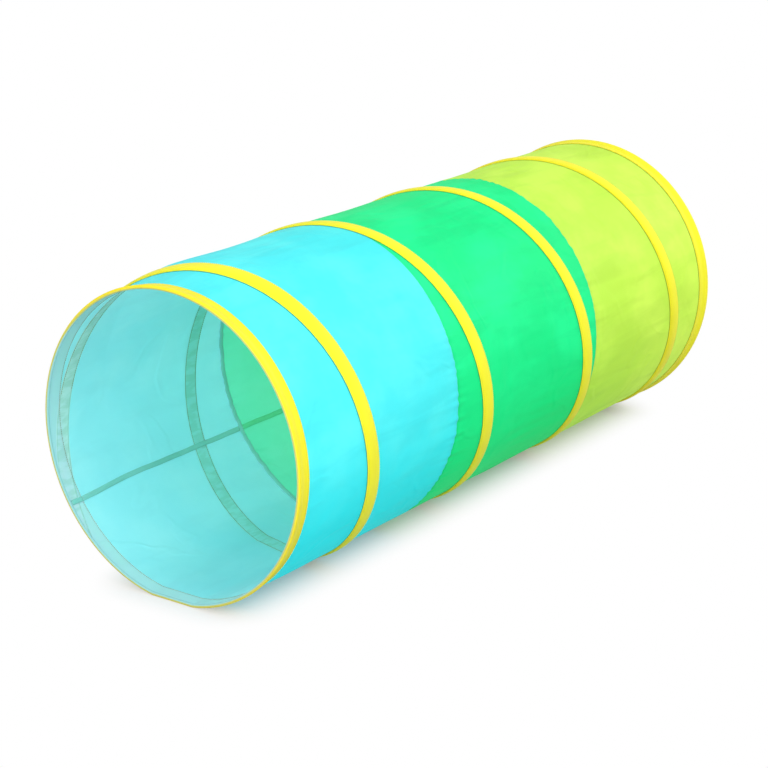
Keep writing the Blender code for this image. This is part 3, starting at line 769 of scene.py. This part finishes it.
def metal_finish(name, tone, rough):
    """Drawn steel or zinc: fine creases and dulled patches."""
    material, tree, coordinates = new_material(name)
    crease = use(tree, CREASE, Vector=coordinates["Object"], Scale=60.0, Seed=7.0)
    dull = spread(tree, crease["Mottle"], 0.35, 0.7)
    colour = blended(tree, dull, tuple(0.7 * c for c in tone), tone)
    roughness = maths(tree, "MULTIPLY_ADD", dull, 0.15, rough)
    bump = bumped(tree, crease["Height"], 0.1, 0.0002)
    skin = principled(tree, colour, roughness, Metallic=1.0, Normal=bump)
    add(tree, "ShaderNodeOutputMaterial", {"Surface": skin})
    return material


def thread_finish(name, tone, shade):
    """Sewing thread, with fine patches in its tone."""
    material, tree, coordinates = new_material(name)
    crease = use(tree, CREASE, Vector=coordinates["Object"], Scale=300.0, Seed=1.0)
    skin = principled(tree, blended(tree, crease["Mottle"], shade, tone), 0.6)
    add(tree, "ShaderNodeOutputMaterial", {"Surface": skin})
    return material


def seen_directly(tree):
    """1 for the rays that show the background: from the camera, in a gloss or through something clear."""
    path = add(tree, "ShaderNodeLightPath").outputs
    seen = maths(tree, "MAXIMUM", path["Is Camera Ray"], path["Is Glossy Ray"])
    return maths(tree, "MAXIMUM", seen, path["Is Transmission Ray"])


def floor_finish():
    """White floor that keeps the object's shadow close by and fades to plain white around it.

    Light that it sends up comes from a greyer floor than the one that is seen.
    """
    material, tree, coordinates = new_material("studio floor")
    parts = split(tree, coordinates["Object"])
    beyond = [
        maths(tree, "MAXIMUM", maths(tree, "SUBTRACT", maths(tree, "ABSOLUTE", parts[axis]), reach), 0.0)
        for axis, reach in enumerate(SHADOW_KEPT)
    ]
    away = add(tree, "ShaderNodeCombineXYZ", {0: beyond[0], 1: beyond[1]}).outputs[0]
    far = add(tree, "ShaderNodeVectorMath", {0: away}, operation="LENGTH").outputs["Value"]
    lit, bright = (
        add(tree, "ShaderNodeBsdfDiffuse", {"Color": (grey, grey, grey, 1)}).outputs[0] for grey in (0.50, 0.55)
    )
    boost, white = (
        add(tree, "ShaderNodeEmission", {"Color": (1, 1, 1, 1), "Strength": strength}).outputs[0]
        for strength in (0.20, 1.0)
    )
    shown = add(tree, "ShaderNodeAddShader", {0: bright, 1: boost}).outputs[0]
    shown = mixed(tree, spread(tree, far, 0.0, SHADOW_FADE), shown, white)
    add(tree, "ShaderNodeOutputMaterial", {"Surface": mixed(tree, seen_directly(tree), lit, shown)})
    return material


# ---------------------------------------------------------------- the object

# Each cloth's creases by number, and its tones: full, in the darker mottle, in the painted shadow beside a tape
# outside (the stitch line and painted fold shade inside), in the hem, and in the painted shade low down
CLOTHS = {
    "cyan cloth outside": (1.0, (103, 250, 255), (86, 242, 251), (20, 150, 140), None, (20, 244, 255)),
    "cyan cloth inside": (2.0, (162, 246, 253), (150, 241, 250), (116, 200, 176), (200, 238, 252), None),
    "green cloth outside": (3.0, (42, 252, 162), (34, 241, 148), (14, 140, 80), None, (8, 240, 140)),
    "green cloth inside": (4.0, (118, 246, 210), (110, 243, 203), (60, 180, 120), (200, 238, 252), None),
    "lime cloth outside": (5.0, (224, 255, 102), (208, 246, 88), (140, 150, 50), None, None),
    "lime cloth inside": (6.0, (222, 250, 150), (212, 244, 140), (150, 170, 80), (234, 246, 196), None),
}
CYAN_OUT, CYAN_IN, GREEN_OUT, GREEN_IN, LIME_OUT, LIME_IN = (
    cloth_finish(name, seed, *(tone and linear(*tone) for tone in tones))
    for name, (seed, *tones) in CLOTHS.items()
)
CYAN_SEAM = seam_finish("cyan turned seam", linear(138, 214, 206), linear(120, 202, 190))
GREEN_SEAM = seam_finish("green turned seam", linear(100, 228, 170), linear(88, 216, 158))
LIME_SEAM = seam_finish("lime turned seam", linear(206, 236, 136), linear(192, 222, 120))

YELLOWS = linear(254, 251, 44), linear(251, 246, 40), linear(252, 234, 44)
HOOP_YELLOWS = linear(251, 245, 40), linear(247, 238, 36), linear(252, 234, 44)
YELLOW = tape_finish("yellow tape", *YELLOWS)
CYAN_HOOP = tape_finish("yellow hoop tape, cyan hem", *HOOP_YELLOWS, linear(160, 218, 220))
LIME_HOOP = tape_finish("yellow hoop tape, lime hem", *YELLOWS, linear(214, 236, 170))
YELLOW_THREAD = thread_finish("yellow thread", linear(250, 236, 60), linear(225, 200, 50))
OLIVE_THREAD = thread_finish("olive thread", linear(150, 150, 90), linear(110, 120, 80))
STEEL = metal_finish("spring steel", linear(150, 152, 156), 0.28)
ZINC = metal_finish("dull zinc", linear(128, 130, 134), 0.42)


def closes(piece):
    """Attaches a piece between the hoops' tapes to the front hoop's body, and gives it a mesh of its own."""
    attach(piece, "front_hoop")
    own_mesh(piece)


panels = [
    cloth_panel("front_cloth", FIRST_EDGE, FIRST_JOIN - JOIN_GAP, CYAN_OUT, CYAN_IN),
    cloth_panel("middle_cloth", FIRST_JOIN + JOIN_GAP, SECOND_JOIN - JOIN_GAP, GREEN_OUT, GREEN_IN),
    cloth_panel("rear_cloth", SECOND_JOIN + JOIN_GAP, TUNNEL_LENGTH - FIRST_EDGE, LIME_OUT, LIME_IN),
]
SLOTS = ("cyan_fabric", "green_fabric", "lime_fabric")
for panel, node, slot in zip(panels, ("front_panel", "middle_panel", "rear_panel"), SLOTS):
    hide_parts(node)
    closes(panel)

# The strip of the end panels that is sewn into a hoop's tape doesn't fold, and goes with the hoop
REAR_HEM_END = TUNNEL_LENGTH - HEM_END
front_hem = cloth_panel("front_hem", CLOTH_EDGE, HEM_END, CYAN_OUT, CYAN_IN, HEM_ROWS)
front_strip = side_strip("front_side_end", SEAM_END, HEM_END, CYAN_SEAM, 12)
for piece in (front_hem, front_strip):
    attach(piece, "front_hoop")
rear_hem = cloth_panel("rear_hem", REAR_HEM_END, TUNNEL_LENGTH - CLOTH_EDGE, LIME_OUT, LIME_IN, HEM_ROWS)
rear_strip = side_strip("rear_side_end", REAR_HEM_END, TUNNEL_LENGTH - SEAM_END, LIME_SEAM, 12)
for piece in (rear_hem, rear_strip):
    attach(piece, "rear_hoop")

spans = (
    (FIRST_EDGE, FIRST_JOIN - SEAM_INSET),
    (FIRST_JOIN + SEAM_INSET, SECOND_JOIN - SEAM_INSET),
    (SECOND_JOIN + SEAM_INSET, TUNNEL_LENGTH - FIRST_EDGE),
)
seams = [
    (join_ring("front_join", FIRST_JOIN, CYAN_SEAM), "front_join_seam", "cyan_fabric"),
    (join_ring("rear_join", SECOND_JOIN, GREEN_SEAM), "rear_join_seam", "green_fabric"),
]
SEAM_FINISHES = (CYAN_SEAM, GREEN_SEAM, LIME_SEAM)
for part, span, finish, slot in zip(("front", "middle", "rear"), spans, SEAM_FINISHES, SLOTS):
    seams.append((side_strip(f"{part}_side", *span, finish), f"{part}_side_seam", slot))
for piece, node, slot in seams:
    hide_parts(node)
    closes(piece)

coil = coil_tape("coil_tape", YELLOW)
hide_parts("coil_casing")
closes(coil)

wire_in, wire_out = coil_angle(FIRST_EDGE), coil_angle(TUNNEL_LENGTH - FIRST_EDGE)
spring = wire_tube("coil_spring", wire_in, wire_out, STEEL)
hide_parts("coil_wire")
closes(spring)
wire_ends = (
    wire_tube("front_spring_end", coil_angle(COIL_LANE) - 0.5, wire_in, STEEL),
    wire_tube("rear_spring_end", wire_out, coil_angle(TUNNEL_LENGTH - COIL_LANE) + 0.5, STEEL),
)
for wire_end, hoop in zip(wire_ends, ("front_hoop", "rear_hoop")):
    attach(wire_end, hoop)

for name, mirrored, finish in (("front_hoop", False, CYAN_HOOP), ("rear_hoop", True, LIME_HOOP)):
    tape = hoop_tape(f"{name}_tape", mirrored, finish)
    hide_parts(f"{name}_binding")
    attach(tape, name)

for node in ("front_hoop_wire", "rear_hoop_wire"):
    bpy.data.objects[node].material_slots[0].material = STEEL
for node in ("front_hoop_crimp", "rear_hoop_crimp", "front_splice_crimp", "rear_splice_crimp"):
    bpy.data.objects[node].material_slots[0].material = ZINC

# ---------------------------------------------------------------- sewing

step = STITCH_STEP / HOOP_RADIUS
free = TAPE_WIDTH + HALF_ALONG
helix = np.arange(coil_angle(free), coil_angle(TUNNEL_LENGTH - free), step * LEAN)
on_tape = CLOTH_OUTER + tape_lift(1 - 2 * ROW_INSET / TAPE_WIDTH) - STITCH_FOOT
under_cloth = CLOTH_OUTER - CLOTH_WALL
top_rows, under_rows = [], []
for side in (-1, 1):
    along = coil_along(helix) + side * (TAPE_WIDTH / 2 - ROW_INSET) / LEAN
    top_rows.append(row_of(helix, round_radius(on_tape, helix, along), along))
    under_rows.append(row_of(helix, round_radius(under_cloth, helix, along), along, True))
for name, rows, thread in (
    ("coil_stitches", top_rows, YELLOW_THREAD),
    ("coil_stitches_inside", under_rows, OLIVE_THREAD),
):
    piece = stitches(name, *joined_rows(rows), thread)
    closes(piece)

ring = np.arange(0, 2 * math.pi, step)
inset = TAPE_WIDTH - ROW_INSET
for hoop, mirrored in (("front_hoop", False), ("rear_hoop", True)):
    there = np.full(len(ring), TUNNEL_LENGTH - inset if mirrored else inset)
    on_flange = LYING + flange_rise(ring, there, LYING, mirrored) - STITCH_FOOT
    outer_row = row_of(ring, round_radius(on_flange, ring, there), there)
    inner_row = row_of(ring, round_radius(under_cloth, ring, there), there, True)
    for name, row, thread in (
        (f"{hoop}_stitches", outer_row, YELLOW_THREAD),
        (f"{hoop}_stitches_inside", inner_row, OLIVE_THREAD),
    ):
        piece = stitches(name, *row, thread)
        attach(piece, hoop)

# ---------------------------------------------------------------- studio

FLOOR_SIZE = 12.0
SHADOW_KEPT = (0.06, 0.52)  # half the width and length of the floor that shows its shadow whole
SHADOW_FADE = 0.11
WORLD_LEVEL = 0.56

# The photograph's camera, found by fitting it to the hoops, the tapes and the seams
CAMERA_LENS = 97.4082
CAMERA_TARGET = (0.09694, -0.19737, 0.24033)
CAMERA_TURN, CAMERA_RISE = math.radians(35.4796), math.radians(17.8231)
CAMERA_DISTANCE = 3.08238


def stage_floor():
    """The floor that the tunnel stands on."""
    size = FLOOR_SIZE
    mesh = bpy.data.meshes.new("studio_floor")
    corners = [(-size, -size, 0), (size, -size, 0), (size, size, 0), (-size, size, 0)]
    mesh.from_pydata(corners, [], [(0, 1, 2, 3)])
    mesh.materials.append(floor_finish())
    floor = bpy.data.objects.new("studio_floor", mesh)
    bpy.context.scene.collection.objects.link(floor)


def soft_light(name, way, distance, size, brightness):
    """An area light that would show a white face turned to it at the brightness given."""
    lamp = bpy.data.lights.new(name, "AREA")
    lamp.shape = "DISK"
    lamp.size = size
    lamp.energy = brightness * math.pi**2 * distance**2
    thing = bpy.data.objects.new(name, lamp)
    way = np.array(way) / np.linalg.norm(way)
    thing.location = np.array((0, 0, AXIS_HEIGHT)) + way * distance
    thing.rotation_euler = aimed(-way)
    bpy.context.scene.collection.objects.link(thing)


def aimed(way):
    """The turn that points a lamp or camera along a way."""
    return Vector(way.tolist()).to_track_quat("-Z", "Y").to_euler()


def studio_world():
    """An even light from all round, at full white for the rays that show it."""
    world = bpy.data.worlds.new("studio")
    bpy.context.scene.world = world
    world.use_nodes = True
    tree = world.node_tree
    tree.nodes.clear()
    strength = maths(tree, "MULTIPLY_ADD", seen_directly(tree), 1 - WORLD_LEVEL, WORLD_LEVEL)
    sky = add(tree, "ShaderNodeBackground", {"Color": (1, 1, 1, 1), "Strength": strength}).outputs[0]
    add(tree, "ShaderNodeOutputWorld", {"Surface": sky})


def camera():
    """The photograph's view."""
    lens = bpy.data.cameras.new("camera")
    lens.sensor_width = 36.0
    lens.lens = CAMERA_LENS
    lens.clip_end = 100.0
    level = math.cos(CAMERA_RISE)
    away = np.array((math.sin(CAMERA_TURN) * level, -math.cos(CAMERA_TURN) * level, math.sin(CAMERA_RISE)))
    thing = bpy.data.objects.new("camera", lens)
    thing.location = np.array(CAMERA_TARGET) + CAMERA_DISTANCE * away
    thing.rotation_euler = aimed(-away)
    bpy.context.scene.collection.objects.link(thing)
    bpy.context.scene.camera = thing


stage_floor()
studio_world()
soft_light("key", (0.72, -0.35, 0.72), 2.6, 1.8, 0.42)
soft_light("sheen", (0.42, 0.78, 0.45), 2.8, 2.0, 0.42)
soft_light("mouth_fill", (0.30, -1.0, 0.30), 2.4, 1.4, 0.42)
soft_light("back_fill", (-0.90, 0.45, 0.55), 2.8, 2.0, 0.12)
camera()
bpy.context.scene.view_settings.view_transform = "Standard"
